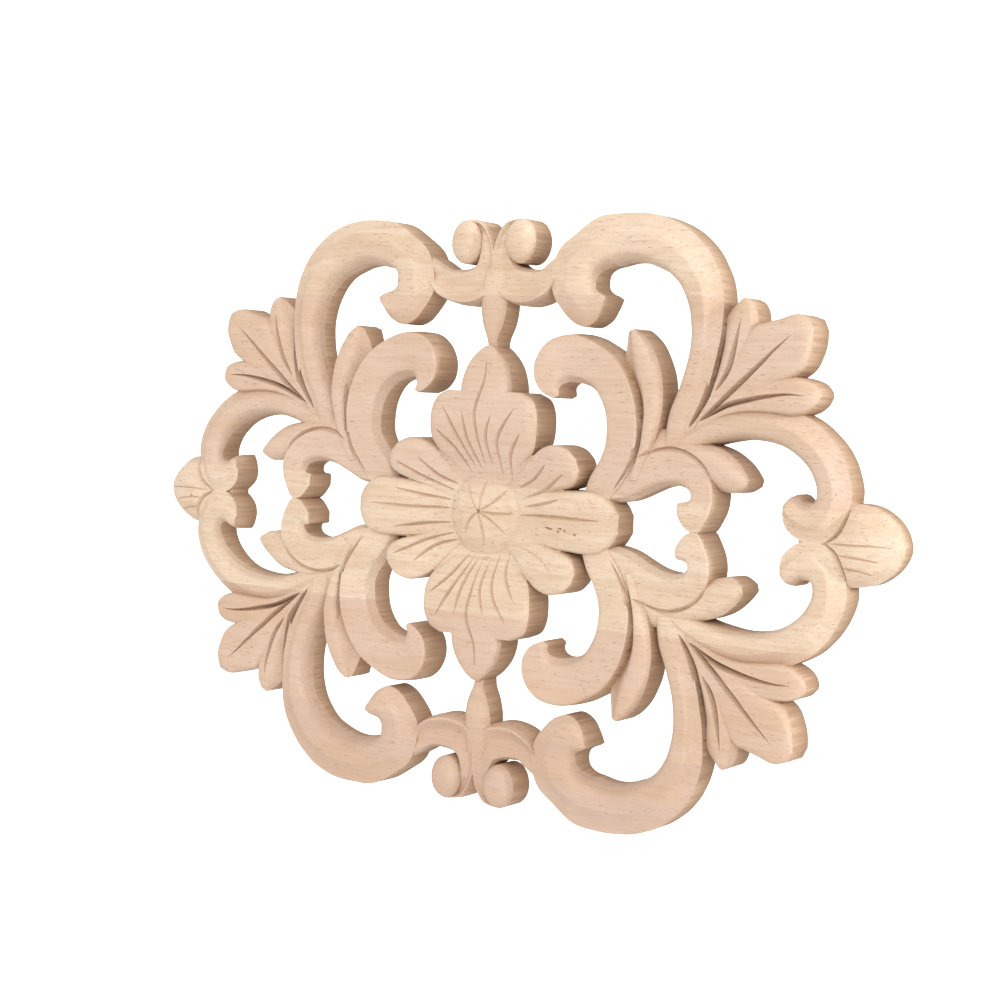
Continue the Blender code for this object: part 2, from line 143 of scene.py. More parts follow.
SMALL_CURL = (
    (52.0, 17.0, 47.5, 6.5, 6.5, 9.5, 6.0),
    (60.0, 22.0, 56.1, 8.2, 7.0, 10.0, 6.0),
    (66.0, 25.0, 61.9, 10.8, 7.0, 10.6, 6.0),
    (72.0, 25.6, 67.4, 13.1, 7.0, 11.2, 6.4),
    (77.8, 24.6, 72.0, 13.9, 7.0, 11.8, 7.2),
    (82.8, 21.6, 75.3, 13.6, 7.4, 12.2, 8.2),
    (86.4, 17.0, 77.4, 12.7, 8.5, 12.6, 9.0),
    (87.8, 12.0, 78.4, 11.5, 10.7, 12.8, 9.3),
    (87.4, 7.9, 78.6, 10.6, 10.4, 12.8, 9.8),
    (85.7, 3.8, 78.4, 9.8, 10.2, 12.8, 10.3),
    (82.7, -0.3, 77.5, 9.2, 10.2, 12.8, 10.8),
    (79.4, 0.2, 76.5, 9.1, 10.6, 12.7, 11.0),
    (76.8, 2.5, 75.7, 9.0, 10.6, 12.5, 11.1),
    (75.1, 5.0, 75.0, 8.6, 11.0, 12.0, 11.2),
)
print("rows drawn for the large scroll:", len(C_SCROLL))

# %% [markdown]
# ## Leaves
# A narrow blade stands between the two scrolls, a small leaf beside the curl, and a leaf of three
# lobes fans out between the large and the side scroll. The webs are the lower wood between lobes.

# %% Leaves of the upper right quarter
BLADE = (
    (60.0, 15.0, 53.0, 15.0, 8.0, 10.5, 6.5),
    (63.6, 24.0, 56.5, 24.5, 9.0, 11.5, 5.0),
    (66.0, 31.5, 57.0, 31.5, 9.8, 12.2, 5.0),
    (67.4, 38.0, 56.5, 38.0, 10.2, 12.4, 5.0),
    (67.3, 44.0, 54.5, 44.0, 10.2, 12.4, 5.2),
    (66.0, 50.1, 51.8, 49.6, 10.0, 12.4, 6.0),
    (63.1, 56.2, 51.7, 53.6, 9.6, 12.3, 7.5),
    (59.4, 60.5, 52.8, 58.2, 9.8, 12.2, 8.8),
    (56.4, 62.6, 53.9, 61.7, 10.6, 11.4, 10.2),
)
SMALL_LEAF = (
    (63.0, 25.0, 62.0, 20.0, 7.0, 9.5, 6.5),
    (70.0, 27.4, 70.0, 22.0, 7.0, 10.5, 6.0),
    (77.0, 28.5, 76.5, 21.6, 7.0, 11.3, 6.0),
    (84.2, 27.3, 81.5, 18.6, 7.6, 11.8, 6.5),
    (90.2, 25.4, 85.6, 14.8, 8.8, 12.2, 7.5),
    (94.6, 22.4, 90.0, 13.3, 9.2, 12.3, 9.0),
    (97.3, 19.5, 95.1, 13.1, 10.0, 12.1, 9.8),
    (98.9, 17.1, 98.4, 15.0, 10.4, 11.4, 10.2),
)
LOBE_TOP = (
    (77.0, 33.0, 80.5, 31.5, 6.0, 9.0, 6.0),
    (80.5, 41.0, 86.5, 39.5, 5.5, 10.3, 7.0),
    (83.0, 49.0, 92.0, 47.5, 5.0, 11.2, 7.5),
    (84.8, 57.0, 96.3, 55.5, 5.5, 11.8, 8.0),
    (85.6, 63.8, 98.6, 62.3, 6.5, 12.0, 8.4),
    (87.4, 66.9, 98.5, 67.6, 7.6, 11.8, 9.2),
    (90.2, 69.9, 96.7, 71.4, 8.6, 11.2, 9.0),
    (92.6, 71.9, 94.4, 72.6, 9.2, 10.2, 9.4),
)
LOBE_BIG = (
    (77.0, 34.0, 80.0, 31.0, 6.0, 9.0, 6.0),
    (85.5, 45.0, 89.5, 37.0, 6.5, 10.6, 6.5),
    (91.0, 53.5, 98.5, 42.0, 7.0, 11.6, 7.0),
    (95.0, 60.0, 106.0, 46.2, 7.6, 12.3, 7.5),
    (98.2, 64.4, 110.9, 48.6, 8.6, 12.6, 8.8),
    (101.7, 65.3, 114.4, 51.2, 9.0, 12.7, 9.5),
    (106.4, 66.4, 116.6, 55.4, 9.4, 12.7, 9.8),
    (111.7, 67.9, 117.8, 59.6, 9.6, 12.4, 9.6),
    (116.3, 66.7, 117.9, 63.3, 9.8, 11.2, 9.6),
)
LOBE_LOW = (
    (77.0, 33.5, 79.5, 30.5, 6.0, 9.0, 6.0),
    (88.5, 42.2, 88.5, 35.8, 6.5, 10.3, 6.5),
    (98.0, 46.6, 97.0, 37.8, 7.0, 11.2, 7.0),
    (106.0, 48.8, 105.0, 37.7, 7.6, 11.6, 7.5),
    (111.2, 49.0, 113.0, 37.4, 8.6, 11.7, 8.4),
    (115.3, 48.4, 117.1, 38.9, 8.6, 11.4, 8.4),
    (118.5, 47.1, 119.6, 41.1, 8.2, 10.6, 8.2),
    (120.5, 45.0, 120.7, 43.4, 8.4, 9.3, 8.4),
)
WEB_ABOVE = (
    (78.5, 36.5, 81.5, 34.5, 8.0, 8.6, 8.0),
    (84.5, 46.5, 88.0, 43.5, 8.6, 9.2, 8.6),
    (90.0, 54.5, 94.5, 51.0, 9.6, 10.2, 9.6),
    (94.0, 60.0, 98.0, 57.5, 10.2, 10.9, 10.2),
    (96.4, 62.6, 98.4, 61.4, 10.2, 10.9, 10.2),
)
WEB_BELOW = (
    (82.0, 37.5, 84.0, 33.5, 8.4, 9.0, 8.4),
    (90.0, 43.5, 92.5, 38.5, 8.8, 9.6, 8.8),
    (97.0, 47.0, 99.0, 41.5, 9.6, 10.4, 9.6),
    (103.5, 48.6, 105.0, 44.5, 9.9, 10.7, 9.9),
    (108.6, 49.4, 109.4, 46.8, 10.0, 10.8, 10.0),
)
print("rows drawn for the big lobe:", len(LOBE_BIG))

# %% [markdown]
# ## Flower, buds and finials
# The flower has petals on both centre lines and one on each diagonal. A limb that lies across a
# centre line is the same on both sides, so four numbers a row are enough for it: the distance out,
# the half width, the edge height and the crest height.

# %% Petals, bud and finial
DIAGONAL_PETAL = (
    (5.0, 7.5, 9.0, 2.0, 6.5, 8.0, 6.5),
    (13.0, 14.5, 17.5, 5.5, 7.0, 9.8, 7.0),
    (19.5, 20.8, 25.0, 8.2, 9.5, 11.4, 7.5),
    (24.4, 23.6, 31.0, 9.8, 11.0, 12.6, 8.5),
    (29.2, 24.6, 35.2, 11.4, 11.4, 13.0, 10.0),
    (34.3, 23.3, 37.8, 13.8, 11.4, 12.9, 11.2),
    (37.5, 20.3, 38.7, 17.0, 11.5, 12.2, 11.5),
)
# Limbs that lie across a centre line.
FINIAL = (
    (115.4, 6.0, 8.0, 9.0),
    (120.0, 9.2, 8.0, 9.6),
    (126.5, 11.4, 8.0, 10.6),
    (130.0, 12.3, 7.8, 11.9),
    (133.0, 12.4, 7.4, 12.5),
    (137.1, 11.9, 6.6, 12.3),
    (141.4, 10.1, 5.8, 11.4),
    (145.0, 7.0, 5.2, 9.8),
    (147.2, 3.5, 5.0, 7.8),
    (148.0, 1.0, 5.0, 6.0),
)
LONG_PETAL = (
    (6.0, 6.0, 6.5, 7.5),
    (15.0, 8.2, 8.0, 9.0),
    (25.0, 9.4, 8.8, 10.6),
    (35.0, 10.1, 9.4, 11.8),
    (42.0, 10.2, 9.6, 12.0),
    (47.4, 9.0, 9.6, 11.8),
    (50.8, 6.4, 9.4, 11.0),
    (53.1, 2.8, 9.0, 9.8),
)
BROAD_PETAL = (
    (5.0, 6.0, 6.5, 7.0),
    (12.0, 10.5, 7.5, 8.4),
    (17.0, 14.6, 9.0, 10.0),
    (22.0, 19.8, 10.6, 11.8),
    (25.5, 21.3, 11.6, 12.8),
    (30.0, 21.8, 12.0, 13.4),
    (34.8, 21.4, 12.0, 13.4),
    (38.8, 19.6, 11.5, 13.2),
    (41.2, 14.9, 11.8, 12.6),
)
OVAL_PETAL = (
    (29.0, 8.8, 9.5, 13.0),
    (34.0, 9.5, 9.6, 13.35),
    (40.0, 10.2, 10.2, 13.2),
    (45.1, 9.8, 10.4, 12.7),
    (49.4, 8.2, 9.8, 12.2),
    (53.1, 5.5, 9.6, 11.6),
    (55.4, 2.9, 9.4, 10.8),
    (56.5, 1.1, 9.4, 10.0),
)
BUD = (
    (87.0, 2.6, 6.5, 8.0),
    (80.0, 4.5, 7.6, 9.6),
    (73.0, 5.2, 7.8, 10.0),
    (67.5, 5.0, 8.0, 10.0),
    (63.0, 3.9, 8.2, 9.8),
    (59.0, 2.2, 8.2, 9.2),
    (54.0, 1.6, 7.0, 7.8),
)


def across(rows, along_x):
    """The seven-number rows of a limb that lies across a centre line."""
    out, half, edge, crest = np.array(rows).T
    if along_x:
        return np.stack([out, half, out, -half, edge, crest, edge], axis=1)
    return np.stack([-half, out, half, out, edge, crest, edge], axis=1)


print("rows of the finial:", across(FINIAL, True).shape)

# %% [markdown]
# ## From rows to a smooth limb
# A gouge runs in long even sweeps. Straight pieces between the drawn rows would show as facets, and
# a finer table would be hard to draw. So the rows are read along cubic curves, at even steps, which
# keeps every scroll round when it is seen close to.

# %% Rows read along a smooth curve
STEP = 0.9
FEWEST_STEPS = 5


def flow(rows, step):
    """Rows at even steps. Between two drawn rows every number follows the cubic whose slope at a
    row is the mean of the slopes before and after it, each weighted by the other one's length."""
    rows = np.asarray(rows, float)
    moves = np.diff(rows, axis=0)
    gaps = (np.hypot(moves[:, 0], moves[:, 1]) + np.hypot(moves[:, 2], moves[:, 3])) / 2
    slopes = moves / gaps[:, None]
    before = gaps[:-1, None]
    after = gaps[1:, None]
    inner = (slopes[:-1] * after + slopes[1:] * before) / (before + after)
    tangents = np.vstack([slopes[:1], inner, slopes[-1:]])
    starts = np.concatenate([[0.0], np.cumsum(gaps)])
    places = np.linspace(0.0, starts[-1], max(FEWEST_STEPS, int(starts[-1] / step) + 1))
    span = np.clip(np.searchsorted(starts, places, side="right") - 1, 0, len(gaps) - 1)
    length = gaps[span][:, None]
    t = (places - starts[span])[:, None] / length
    read = (2 * t**3 - 3 * t**2 + 1) * rows[span]
    read += (t**3 - 2 * t**2 + t) * length * tangents[span]
    read += (3 * t**2 - 2 * t**3) * rows[span + 1]
    read += (t**3 - t**2) * length * tangents[span + 1]
    return read


print("steps along the large scroll:", len(flow(C_SCROLL, STEP)))

# %% [markdown]
# ## Sections of the limbs
# Across a limb the carver leaves a crest and works it down to both edges: rounded, with a ridge
# between an inner flat and an outer slope, flat with rounded rims, or hollowed. One list of pairs
# says it all: a place across the limb from 0 to 1, and the share of the crest that stands there.

# %% Sections from edge to edge
ROUNDED = ((0, 0), (0.03, 0.2), (0.08, 0.45), (0.15, 0.7), (0.24, 0.87), (0.36, 0.97), (0.5, 1),
           (0.64, 0.97), (0.76, 0.87), (0.85, 0.7), (0.92, 0.45), (0.97, 0.2), (1, 0))
RIDGED = ((0, 0), (0.08, 0.18), (0.17, 0.38), (0.26, 0.58), (0.35, 0.8), (0.425, 0.97),
          (0.455, 1), (0.5, 0.99), (0.6, 0.97), (0.7, 0.94), (0.78, 0.89), (0.85, 0.79),
          (0.91, 0.62), (0.96, 0.37), (1, 0))
STEEP = ((0, 0), (0.012, 0.4), (0.024, 0.75), (0.04, 0.93), (0.075, 1), (0.18, 1), (0.32, 0.98),
         (0.46, 0.96), (0.6, 0.94), (0.72, 0.92), (0.8, 0.88), (0.86, 0.77), (0.93, 0.42), (1, 0))
FLAT = ((0, 0), (0.014, 0.36), (0.036, 0.66), (0.075, 0.86), (0.13, 0.96), (0.24, 1), (0.4, 1),
        (0.6, 1), (0.76, 1), (0.87, 0.96), (0.925, 0.86), (0.964, 0.66), (0.986, 0.36), (1, 0))
HOLLOWED = ((0, 0), (0.05, 0.4), (0.1, 0.66), (0.17, 0.7), (0.28, 0.58), (0.4, 0.45),
            (0.54, 0.42), (0.67, 0.58), (0.78, 0.88), (0.85, 1), (0.91, 0.94), (0.96, 0.55),
            (1, 0))
BLADED = ((0, 0), (0.03, 0.32), (0.065, 0.62), (0.11, 0.86), (0.18, 0.97), (0.3, 1), (0.42, 1),
          (0.5, 0.93), (0.58, 0.76), (0.66, 0.52), (0.74, 0.3), (0.84, 0.12), (1, 0))
LEANING = ((0, 0), (0.08, 0.14), (0.16, 0.34), (0.25, 0.6), (0.34, 0.84), (0.43, 0.97), (0.53, 1),
           (0.65, 1), (0.76, 0.97), (0.86, 0.88), (0.93, 0.62), (0.97, 0.32), (1, 0))
print("places across a flat limb:", len(FLAT))

# %% [markdown]
# ## Closed bodies
# A Boolean needs bodies without holes. A stack of rings, each one joined to the next and the first
# and last closed flat, is always closed, so limbs, bosses and tool strokes are all made that way.

# %% Meshes from rings of points


def new_object(name, points, faces):
    """A mesh object from millimetre points (x, height, z), with its faces turned outward."""
    mesh = bpy.data.meshes.new(name)
    mesh.from_pydata(points * np.array([SCALE, -SCALE, SCALE]), [], faces)
    form = bmesh.new()
    form.from_mesh(mesh)
    bmesh.ops.triangulate(form, faces=form.faces)
    bmesh.ops.recalc_face_normals(form, faces=form.faces)
    form.to_mesh(mesh)
    form.free()
    made = bpy.data.objects.new(name, mesh)
    bpy.context.scene.collection.objects.link(made)
    return made


def closed_tube(name, rings):
    """A closed body from rings of points: point k of a ring joins point k of the next one, the
    last point of a ring joins its first, and the two end rings are closed flat."""
    count = rings.shape[1]
    low = np.arange(rings.shape[0] - 1)[:, None] * count
    k = np.arange(count)[None, :]
    after = (k + 1) % count
    sides = np.stack([low + k, low + after, low + count + after, low + count + k], axis=2)
    last = (rings.shape[0] - 1) * count
    ends = [list(range(count)), list(range(last + count - 1, last - 1, -1))]
    return new_object(name, rings.reshape(-1, 3), sides.reshape(-1, 4).tolist() + ends)


print("helpers for closed bodies ready")

# %% [markdown]
# ## A limb and a boss
# The top of a limb follows its section, and its walls are sawn straight down. An extra row of
# points just under each edge keeps the shading of the top and of the wall apart. Round forms, such
# as the eyes and the dome of the flower, are rings that shrink as they rise. Everything runs a
# little past the back, which is planed off at the end.

# %% Limbs and bosses as surfaces
BACK_ALLOWANCE = 3.0
RIM = 0.4
BOSS_RINGS = 12
BOSS_TIP = 0.02


def loft(name, rows, section):
    """A limb. At step v and place u across, the point lies on the straight line between the two
    edges, at the edge height plus the section's share of what the crest rises above it."""
    ax, az, bx, bz, edge_a, crest, edge_b = (c[:, None] for c in flow(rows, STEP).T)
    u, share = (numbers[None, :] for numbers in np.array(section, float).T)
    edge = edge_a + (edge_b - edge_a) * u
    height = edge + np.maximum(crest - edge, 0.0) * share
    top = np.stack([ax + (bx - ax) * u, height, az + (bz - az) * u], axis=2)
    rim = top[:, [0, -1]] - np.array([0, RIM, 0])
    under = top[:, [0, -1]].copy()
    under[:, :, 1] = -BACK_ALLOWANCE
    ring = [under[:, :1], rim[:, :1], top, rim[:, 1:], under[:, 1:]]
    return closed_tube(name, np.concatenate(ring, axis=1))


def boss(name, centre, radii, edge, crest, shape, sides):
    """A round or oval raised form. A ring at share r of the radii has the height
    edge + (crest - edge) * (1 - r ** power) ** fullness."""
    power, fullness = shape
    share = np.sin(np.linspace(1, BOSS_TIP, BOSS_RINGS) * np.pi / 2)
    share = np.concatenate([[1.0], share])[:, None]
    height = edge + (crest - edge) * (1 - share**power) ** fullness
    height[0] = -BACK_ALLOWANCE
    angle = (np.arange(sides) * 2 * np.pi / sides)[None, :]
    x = centre[0] + radii[0] * share * np.cos(angle)
    z = centre[1] + radii[1] * share * np.sin(angle)
    return closed_tube(name, np.stack([x, height + 0 * x, z], axis=2))


print("rim below an edge:", RIM, "mm; past the back:", BACK_ALLOWANCE, "mm")

# %% [markdown]
# ## Turning over and joining
# A tracing is turned over to draw the other side of a pattern. A mesh turned over is also inside
# out, unless it is turned twice, so its faces are turned back. Bodies are joined by Booleans: the
# result is one skin with no walls left inside, as wood has none.

# %% Copies turned over, and Booleans


def mirrored(source, flip_x, flip_z):
    """A copy of an object turned over about the centre lines, with its faces outward again."""
    mesh = source.data.copy()
    signs = np.array([-1.0 if flip_x else 1.0, 1.0, -1.0 if flip_z else 1.0])
    points = np.empty(len(mesh.vertices) * 3)
    mesh.vertices.foreach_get("co", points)
    mesh.vertices.foreach_set("co", (points.reshape(-1, 3) * signs).ravel())
    if flip_x != flip_z:
        mesh.flip_normals()
    made = bpy.data.objects.new(source.name + " turned", mesh)
    bpy.context.scene.collection.objects.link(made)
    return made


def combine(base, others, operation):
    """Joins the others to the base, or cuts them out of it, one Boolean after the other."""
    for other in others:
        step = base.modifiers.new("step", "BOOLEAN")
        step.operation = operation
        step.solver = "MANIFOLD"
        step.object = other
        result = bpy.data.meshes.new_from_object(
            base.evaluated_get(bpy.context.evaluated_depsgraph_get()))
        base.modifiers.clear()
        base.data = result
        bpy.data.objects.remove(other)
    return base


print("helpers for joining ready")

# %% [markdown]
# ## The upper right quarter
# Every limb is lofted from its table with the section that its real one shows. Low webs fill the
# wood left between the lobes of the leaf, and a low boss fills the place where the limbs branch.

# %% The limbs of a quarter
# Centre, radii, edge height, crest height, power and fullness of the rise, points round it.
EYE = ((11.0, 91.1), (6.0, 7.4), 9.6, 13.2, (3.0, 0.7), 48)
BRANCHING = ((66.0, 23.5), (11.0, 8.0), 7.0, 9.6, (2.0, 1.0), 32)

quarter = [
    loft("c scroll", C_SCROLL, RIDGED),
    loft("arm", ARM, HOLLOWED),
    loft("side scroll", SIDE_SCROLL, RIDGED),
    loft("blade", BLADE, BLADED),
    loft("inner scroll", INNER_SCROLL, STEEP),
    loft("small curl", SMALL_CURL, STEEP),
    loft("small leaf", SMALL_LEAF, ROUNDED),
    loft("top lobe", LOBE_TOP, LEANING),
    loft("big lobe", LOBE_BIG, FLAT),
    loft("low lobe", LOBE_LOW, FLAT),
    loft("diagonal petal", DIAGONAL_PETAL, FLAT),
    boss("eye", *EYE),
    boss("branching", *BRANCHING),
    loft("web above", WEB_ABOVE, FLAT),
    loft("web below", WEB_BELOW, FLAT),
]
print("limbs of a quarter:", len(quarter))

# %% [markdown]
# ## One carved body
# The limbs of a quarter are joined, the quarter is turned over about both centre lines, and the
# limbs on the centre lines are added. The hub is a shallow dish under the petals, and its dome is
# the heart of the flower.

# %% The four quarters and the middle
HUB = ((0.0, 0.0), (34.8, 24.8), 9.9, 7.2, (1.3, 1.0), 72)
DOME = ((0.0, 0.0), (14.3, 14.3), 8.2, 12.6, (2.4, 0.8), 72)

carving = combine(quarter[0], quarter[1:], "UNION")
turned = [mirrored(carving, *flips) for flips in ((True, False), (False, True), (True, True))]
middle = [
    boss("hub", *HUB),
    loft("finial", across(FINIAL, True), ROUNDED),
    loft("long petal", across(LONG_PETAL, True), FLAT),
    loft("broad petal", across(BROAD_PETAL, False), FLAT),
    loft("oval petal", across(OVAL_PETAL, False), FLAT),
    loft("bud", across(BUD, False), ROUNDED),
]
middle += [mirrored(part, True, False) for part in middle[1:3]]
middle += [mirrored(part, False, True) for part in middle[3:6]]
middle.append(boss("dome", *DOME))
combine(carving, turned + middle, "UNION")
print("faces of the joined limbs:", len(carving.data.polygons))

# %% [markdown]
# ## Veins and incised lines
# Each vein is one stroke of a V tool: it starts at the surface, sinks to its depth and comes out
# again. A bump in the finish would vanish from the side, so the strokes are cut from the mesh. Each
# is drawn as a few points in x and z. The same tool then cuts the gaps that part the limbs, the
# tiny worm holes in a petal and a finial, and the pit in the middle of the flower.

# %% Strokes of the V tool
FLOWER_STROKES = (
    ((-4.9, 13.1), (-11.2, 21.2), (-18.7, 28.0)),
    ((-2.9, 14.2), (-9.7, 25.7), (-16.1, 35.9)),
    ((-0.8, 14.0), (-5.5, 24.5), (-8.1, 34.5)),
    ((0.8, 14.5), (-1.4, 25.4), (-2.7, 34.7), (0.5, 44.8), (0.6, 52.0)),
    ((3.6, 15.6), (1.9, 25.5), (4.1, 33.6)),
    ((7.4, 12.5), (6.4, 24.4), (13.1, 36.0)),
    ((10.7, 12.0), (11.1, 20.0), (15.9, 27.9)),
    ((-8.5, 8.8), (-19.2, 12.3), (-26.7, 18.0)),
    ((-10.4, 6.7), (-21.6, 10.1), (-35.4, 16.2)),
    ((-11.1, 3.6), (-23.1, 4.8), (-36.2, 6.7)),
)
UPPER_STROKES = (
    ((14.4, 9.6), (20.2, 12.6), (25.8, 17.9)),
    ((16.9, 6.5), (25.8, 9.7), (33.3, 15.4)),
    ((16.3, 3.5), (23.0, 4.6), (30.7, 6.7)),
)
CENTRE_STROKES = (
    ((14.0, 0.7), (32.5, 1.0), (47.0, 0.9)),
    ((-11.0, 0.9), (-29.8, 0.7), (-47.5, 0.8)),
)
LEAF_STROKES = (
    ((94.0, 66.0), (92.5, 58.0), (90.0, 50.0), (86.0, 44.0)),
    ((111.3, 61.5), (105.0, 56.0), (100.0, 51.5), (95.0, 47.0), (90.0, 42.5), (80.0, 34.5)),
    ((116.0, 43.5), (110.0, 43.6), (100.0, 42.2), (90.0, 39.5), (80.0, 34.5)),
)
FAINT_STROKES = (
    ((17.0, -10.0), (24.0, -13.0), (30.5, -17.5)),
)
WORM_HOLES = (
    ((25.6, -2.6), (27.2, -2.9), (29.0, -3.1)),
    ((30.6, -3.5), (31.2, -3.6), (31.9, -3.6)),
    ((31.0, -2.5), (31.9, -2.6), (32.8, -2.7)),
    ((33.4, -3.0), (33.9, -3.1), (34.4, -3.1)),
    ((37.4, -3.9), (37.9, -4.0), (38.5, -4.0)),
    ((-132.5, -2.4), (-133.1, -2.5), (-133.7, -2.5)),
)
PIT = ((-0.7, 0.9), (0.0, 0.9), (0.7, 0.9))
DOME_STROKES = (
    ((0.3, 1.2), (0.5, 6.1), (2.0, 11.8)),
    ((0.6, 1.2), (5.6, 4.4), (10.0, 9.0)),
    ((0.8, 0.8), (7.4, 0.4), (13.0, 1.0)),
    ((0.6, 0.5), (5.5, -2.3), (10.2, -6.6)),
    ((0.0, 0.4), (1.6, -5.2), (1.9, -11.2)),
    ((-0.6, 0.5), (-3.9, -2.3), (-5.8, -7.4)),
    ((-0.6, 1.0), (-3.5, 5.2), (-5.9, 10.2)),
)
FINIAL_STROKES = (
    ((123.3, 0.0), (134.6, 0.4), (146.0, 0.3)),
    ((128.2, -2.9), (135.4, -3.4), (142.3, -4.3)),
    ((130.6, -6.5), (135.7, -7.2), (140.1, -8.3)),
)
print("strokes on the upper half of the flower:", len(FLOWER_STROKES))

# %% Strokes that part two limbs
# The points, then the width, the depth and the lean of the stroke.
GAP_STROKES = (
    (((87.2, 67.0), (86.4, 57.0), (84.5, 47.0), (81.3, 40.0), (76.5, 32.5)), 2.2, 4.2, 1.7),
    (((60.4, 42.0), (60.2, 34.0), (59.3, 26.0), (56.0, 18.5), (51.0, 11.5)), 1.5, 2.4, 1.0),
    (((60.0, 22.4), (67.0, 25.3), (73.5, 25.5), (79.5, 23.6), (84.4, 19.8), (86.6, 16.0)),
     1.4, 1.5, 1.0),
    (((131.8, 11.4), (130.9, 8.0), (128.3, 3.0), (123.5, -0.4)), 1.5, 1.9, 1.0),
)
print("gaps of a quarter:", len(GAP_STROKES))

# %% [markdown]
# ## The V tool
# A V tool has a fixed angle, so a deeper stroke is a wider one. The surface under the path is found
# by looking straight down on it, and its heights are evened out, because a hand doesn't follow
# every step of the surface. The lean moves the deepest place along the stroke.

# %% One stroke as a closed body
STROKE_STEP = 0.8
EVENED_OVER = 7
ABOVE_SURFACE = 1.6
LOOK_FROM = -0.1


def smooth_path(points, step):
    """Points at even steps on the cubic curve through the given ones."""
    points = np.asarray(points, float)
    rows = np.zeros((len(points), 7))
    rows[:, 0:2] = points
    rows[:, 2:4] = points
    return flow(rows, step)[:, 0:2]


def surface_heights(tree, path):
    """Height of the carved surface in drawing millimetres under each point of a path."""
    heights = []
    for x, z in path:
        hit = tree.ray_cast(Vector((x * SCALE, LOOK_FROM, z * SCALE)), Vector((0, 1, 0)))[0]
        heights.append(-hit.y / SCALE if hit else 0.0)
    return np.array(heights)


def stroke(tree, points, width, depth, taper=0.5, lean=1.0):
    """The V that one stroke takes out. Along the path the depth is
    depth * sin(pi s ** lean) ** taper, and at every height the half width is the height above the
    bottom times half of width / depth."""
    path = smooth_path(points, STROKE_STEP)
    heights = np.pad(surface_heights(tree, path), EVENED_OVER // 2, mode="edge")
    heights = np.convolve(heights, np.ones(EVENED_OVER) / EVENED_OVER, mode="valid")
    s = np.linspace(0, 1, len(path))
    sunk = depth * np.sin(np.pi * np.clip(s**lean, 0.004, 0.996)) ** taper
    heading = np.gradient(path, axis=0)
    heading /= np.hypot(heading[:, 0], heading[:, 1])[:, None]
    side = np.stack([-heading[:, 1], heading[:, 0]], axis=1)
    half = (sunk + ABOVE_SURFACE) * (width / depth) / 2
    left, right = path + side * half[:, None], path - side * half[:, None]
    ring = np.stack([
        np.stack([path[:, 0], heights - sunk, path[:, 1]], axis=1),
        np.stack([left[:, 0], heights + ABOVE_SURFACE, left[:, 1]], axis=1),
        np.stack([right[:, 0], heights + ABOVE_SURFACE, right[:, 1]], axis=1),
    ], axis=1)
    return closed_tube("stroke", ring)


print("points along the first stroke:", len(smooth_path(FLOWER_STROKES[0], STROKE_STEP)))

# %% [markdown]
# ## Cutting the strokes
# The flower's strokes are the same above and below, the leaves' and the gaps' the same in all four
# quarters. The few strokes that only one place of the real piece has are cut there alone.

# %% All strokes cut from the body
# Width and depth of a stroke, then its taper and its lean where they differ from the usual.
FLOWER_CUT = (1.35, 1.4, 0.6, 1.15)
LEAF_CUT = (1.9, 3.2, 0.55, 1.4)
GAP_TAPER = 0.5
PETAL_CUT = (1.35, 1.2)
FAINT_CUT = (1.2, 0.6)
WORM_CUT = (0.9, 1.4, 0.3)
DOME_CUT = (1.2, 0.9, 0.4)
PIT_CUT = (2.0, 2.2)
FINIAL_CUT = (0.8, 0.7)


def flipped(strokes, x_sign, z_sign):
    """The same strokes turned over about the centre lines."""
    return [[(x * x_sign, z * z_sign) for x, z in points] for points in strokes]


mesh = carving.data
corners = np.empty(len(mesh.vertices) * 3)
mesh.vertices.foreach_get("co", corners)
faces = [tuple(polygon.vertices) for polygon in mesh.polygons]
surface_tree = BVHTree.FromPolygons(corners.reshape(-1, 3).tolist(), faces)
cuts = []
for z_sign in (1, -1):
    for points in flipped(FLOWER_STROKES, 1, z_sign):
        cuts.append(stroke(surface_tree, points, *FLOWER_CUT))
    for x_sign in (1, -1):
        for points in flipped(LEAF_STROKES, x_sign, z_sign):
            cuts.append(stroke(surface_tree, points, *LEAF_CUT))
        for points, width, depth, lean in GAP_STROKES:
            points = flipped([points], x_sign, z_sign)[0]
            cuts.append(stroke(surface_tree, points, width, depth, GAP_TAPER, lean))
single_cuts = (
    (CENTRE_STROKES + UPPER_STROKES, PETAL_CUT),
    (FAINT_STROKES, FAINT_CUT),
    (WORM_HOLES, WORM_CUT),
    (DOME_STROKES, DOME_CUT),
    ((PIT,), PIT_CUT),
)
for strokes, cut in single_cuts:
    cuts += [stroke(surface_tree, points, *cut) for points in strokes]
for x_sign in (1, -1):
    for points in flipped(FINIAL_STROKES, x_sign, 1):
        cuts.append(stroke(surface_tree, points, *FINIAL_CUT))
combine(carving, cuts, "DIFFERENCE")
print("strokes:", len(cuts), "faces:", len(carving.data.polygons))

# %% [markdown]
# ## The plane back
# Such an onlay is glued on by its back, so its back is planed flat. The body is cut along that
# plane, the cut is filled, and points that lie on each other are merged, so that no seam is open.

# %% Back planed flat and seams closed
MERGE = 0.000003

